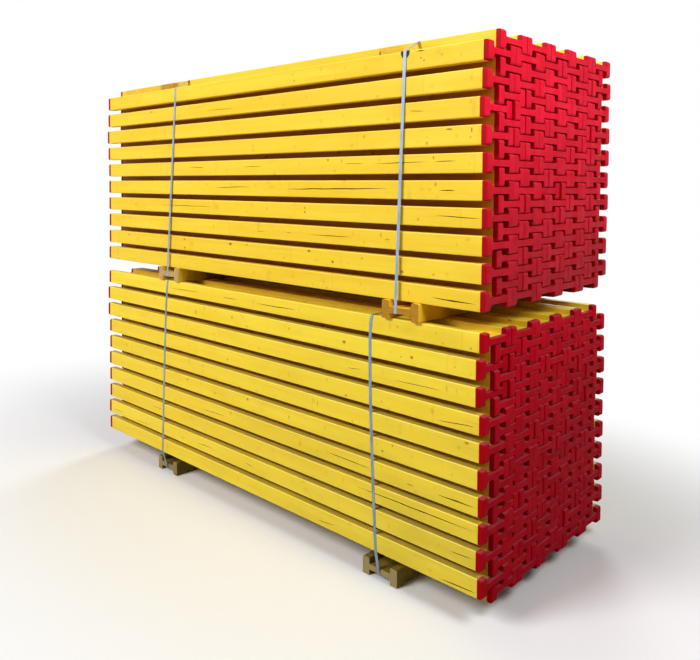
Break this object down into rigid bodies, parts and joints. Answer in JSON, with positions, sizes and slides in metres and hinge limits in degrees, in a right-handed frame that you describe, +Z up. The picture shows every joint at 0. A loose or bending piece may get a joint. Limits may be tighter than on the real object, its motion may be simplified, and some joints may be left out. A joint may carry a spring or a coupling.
{
  "type": "stack of lumber",
  "caption": "Two strapped bundles of interlocked H-section timber formwork beams with plastic end caps, stacked on short beam offcuts.",
  "frame": {"origin": "on the ground, in the middle of the footprint of the whole stack", "axes": "+X along the beams, -Y towards the front long side, +Z up"},
  "size_m": [2.92, 1.1366, 2.3681],
  "materials": {
    "timber": "yellow glazed spruce, satin",
    "cap_plastic": "moulded red plastic, semi-gloss",
    "bearer_timber": "worn and weathered yellow glaze, matt",
    "strap_steel": "blue-grey steel strapping",
    "seal_steel": "zinc-plated steel, crimped",
    "guard_plastic": "black plastic, scuffed"
  },
  "bodies": {
    "root": {"lower_beam_layer_01": "timber", "lower_beam_layer_02": "timber", "lower_beam_layer_03": "timber", "lower_beam_layer_04": "timber", "lower_beam_layer_05": "timber", "lower_beam_layer_06": "timber", "lower_beam_layer_07": "timber", "lower_beam_layer_08": "timber", "lower_beam_layer_09": "timber", "lower_beam_layer_10": "timber", "lower_beam_layer_11": "timber", "lower_beam_layer_12": "timber", "lower_beam_layer_13": "timber", "lower_beam_layer_14": "timber", "lower_beam_layer_15": "timber", "lower_beam_layer_16": "timber", "lower_beam_layer_17": "timber", "lower_beam_layer_18": "timber", "lower_beam_layer_19": "timber", "lower_beam_layer_20": "timber", "upper_beam_layer_01": "timber", "upper_beam_layer_02": "timber", "upper_beam_layer_03": "timber", "upper_beam_layer_04": "timber", "upper_beam_layer_05": "timber", "upper_beam_layer_06": "timber", "upper_beam_layer_07": "timber", "upper_beam_layer_08": "timber", "upper_beam_layer_09": "timber", "upper_beam_layer_10": "timber", "upper_beam_layer_11": "timber", "upper_beam_layer_12": "timber", "upper_beam_layer_13": "timber", "upper_beam_layer_14": "timber", "upper_beam_layer_15": "timber", "upper_beam_layer_16": "timber", "upper_beam_layer_17": "timber", "upper_beam_layer_18": "timber", "upper_beam_layer_19": "timber", "upper_beam_layer_20": "timber", "lower_end_caps_right": "cap_plastic", "lower_end_caps_left": "cap_plastic", "upper_end_caps_right": "cap_plastic", "upper_end_caps_left": "cap_plastic", "lower_bearer_right": "bearer_timber", "lower_bearer_left": "bearer_timber", "upper_bearer_right": "bearer_timber", "upper_bearer_left": "bearer_timber", "lower_strap_right": "strap_steel", "lower_strap_left": "strap_steel", "upper_strap_right": "strap_steel", "upper_strap_left": "strap_steel", "lower_strap_seal_right": "seal_steel", "lower_strap_seal_left": "seal_steel", "upper_strap_seal_right": "seal_steel", "upper_strap_seal_left": "seal_steel", "upper_corner_guard_right": "guard_plastic"}
  },
  "joints": []
}
